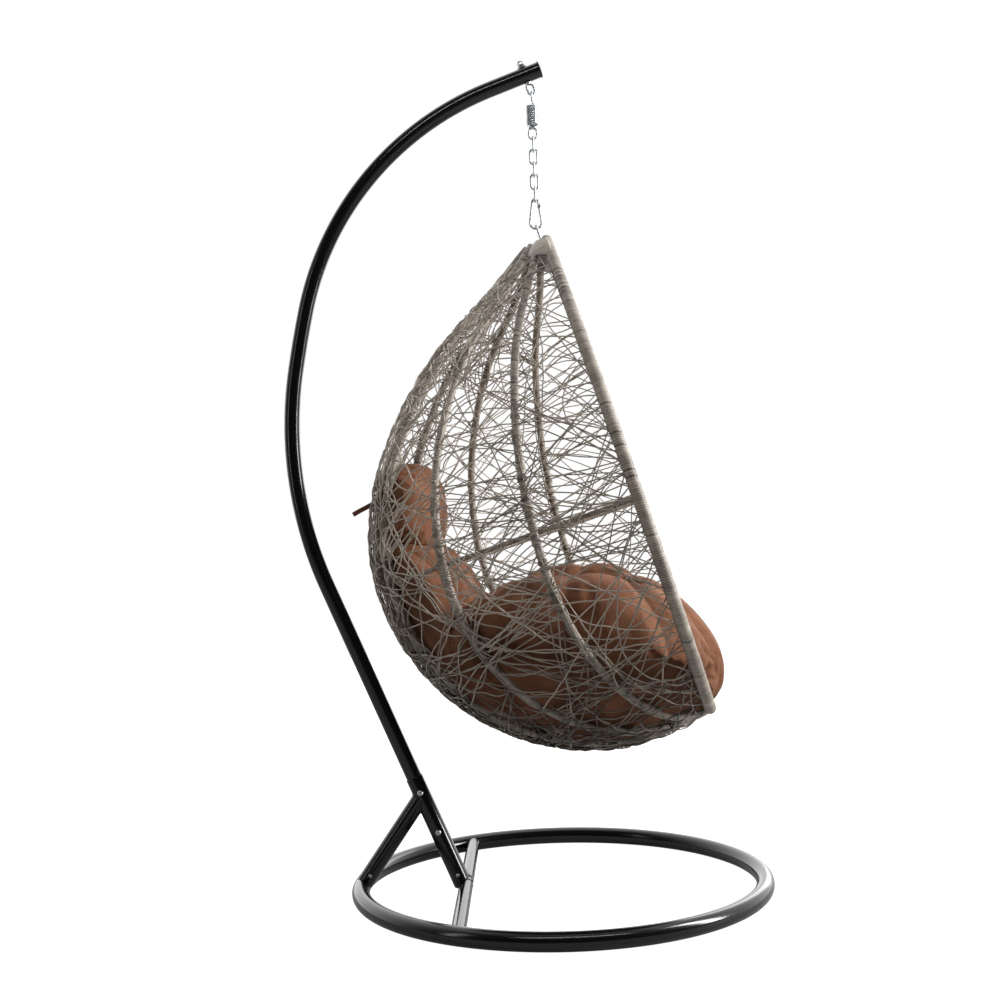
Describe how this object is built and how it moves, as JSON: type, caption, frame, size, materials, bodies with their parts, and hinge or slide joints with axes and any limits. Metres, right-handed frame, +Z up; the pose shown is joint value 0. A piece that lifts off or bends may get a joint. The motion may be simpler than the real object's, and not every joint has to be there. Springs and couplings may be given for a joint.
{
  "type": "hanging egg chair",
  "caption": "Woven egg-shaped seat with cushions, hung by spring, chain and snap hook from a curved arm on a ring base.",
  "frame": {"origin": "centre of the overall bounding box, on the floor under the base ring", "axes": "+Z up along the stand's height, +X to the chair's open front, +Y to the sitter's left"},
  "size_m": [1.1322, 1.0276, 1.9931],
  "materials": {
    "frame_paint": "gloss black powder coat",
    "black_plastic": "satin",
    "zinc_steel": "bright zinc plate",
    "rattan_wrap": "grained resin strand",
    "rattan_weave": "round resin strand",
    "cushion_cloth": "plain woven cover"
  },
  "bodies": {
    "stand": {"base_ring": "frame_paint", "crossbar": "frame_paint", "leg": "frame_paint", "rear_strut": "frame_paint", "arm": "frame_paint", "arm_end_cap": "black_plastic", "leg_bolt_upper": "zinc_steel", "leg_bolt_lower": "zinc_steel", "leg_nut_upper": "zinc_steel", "leg_nut_lower": "zinc_steel", "foot_screw": "zinc_steel", "strut_screw": "zinc_steel", "eye_bolt": "zinc_steel", "eye_bolt_washer": "zinc_steel", "eye_bolt_nut": "zinc_steel"},
    "spring_top": {"spring": "zinc_steel"},
    "spring_end": {"spring_hook": "zinc_steel"},
    "link_1": {"chain_link_1": "zinc_steel"},
    "link_2": {"chain_link_2": "zinc_steel"},
    "link_3": {"chain_link_3": "zinc_steel"},
    "link_4": {"chain_link_4": "zinc_steel"},
    "link_5": {"chain_link_5": "zinc_steel"},
    "hook": {"snap_hook": "zinc_steel", "snap_hook_pin": "zinc_steel"},
    "gate": {"snap_hook_gate": "zinc_steel"},
    "egg": {"crown": "rattan_wrap", "rim": "rattan_wrap", "rib_right_front": "rattan_wrap", "rib_right_middle": "rattan_wrap", "rib_right_rear": "rattan_wrap", "rib_back": "rattan_wrap", "rib_left_rear": "rattan_wrap", "rib_left_middle": "rattan_wrap", "rib_left_front": "rattan_wrap", "hoop": "rattan_wrap", "rib_hub": "rattan_wrap", "egg_eye": "zinc_steel", "wicker": "rattan_weave", "seat_cushion": "cushion_cloth", "backrest_cushion": "cushion_cloth", "headrest_cushion": "cushion_cloth", "headrest_tie": "cushion_cloth"}
  },
  "joints": [
    {"name": "swing_fore_aft", "type": "hinge", "parent": "stand", "child": "spring_top", "pos_m": [0.05685, 0.012, 1.9125], "axis": [0, -1, 0], "range_deg": [-3, 20]},
    {"name": "spring_stretch", "type": "slide", "parent": "spring_top", "child": "spring_end", "axis": [0, 0, -1], "range_m": [0, 0.02], "stiffness_N_per_m": 30000, "springref_m": -0.0135, "deforming": ["spring"]},
    {"name": "swing_side", "type": "hinge", "parent": "spring_end", "child": "link_1", "pos_m": [0.05685, 0.012, 1.804], "axis": [1, 0, 0], "range_deg": [-14, 14]},
    {"name": "link_2_twist", "type": "hinge", "parent": "link_1", "child": "link_2", "pos_m": [0.05685, 0.012, 1.7742], "axis": [0, 0, 1], "range_deg": [-9, 9], "stiffness_Nm_per_rad": 12},
    {"name": "link_3_twist", "type": "hinge", "parent": "link_2", "child": "link_3", "pos_m": [0.05685, 0.012, 1.7439], "axis": [0, 0, 1], "range_deg": [-9, 9], "stiffness_Nm_per_rad": 12},
    {"name": "link_4_twist", "type": "hinge", "parent": "link_3", "child": "link_4", "pos_m": [0.05685, 0.012, 1.7137], "axis": [0, 0, 1], "range_deg": [-9, 9], "stiffness_Nm_per_rad": 12},
    {"name": "link_5_twist", "type": "hinge", "parent": "link_4", "child": "link_5", "pos_m": [0.05685, 0.012, 1.6835], "axis": [0, 0, 1], "range_deg": [-9, 9], "stiffness_Nm_per_rad": 12},
    {"name": "hook_twist", "type": "hinge", "parent": "link_5", "child": "hook", "pos_m": [0.05685, 0.012, 1.6533], "axis": [0, 0, 1], "range_deg": [-9, 9], "stiffness_Nm_per_rad": 12},
    {"name": "gate_open", "type": "hinge", "parent": "hook", "child": "gate", "pos_m": [0.06573, 0.012, 1.63804], "axis": [0, 1, 0], "range_deg": [0, 20], "stiffness_Nm_per_rad": 0.05, "springref_deg": -17.19},
    {"name": "egg_rock", "type": "hinge", "parent": "hook", "child": "egg", "pos_m": [0.05685, 0.012, 1.59], "axis": [0, -1, 0], "range_deg": [-1.5, 8]}
  ]
}
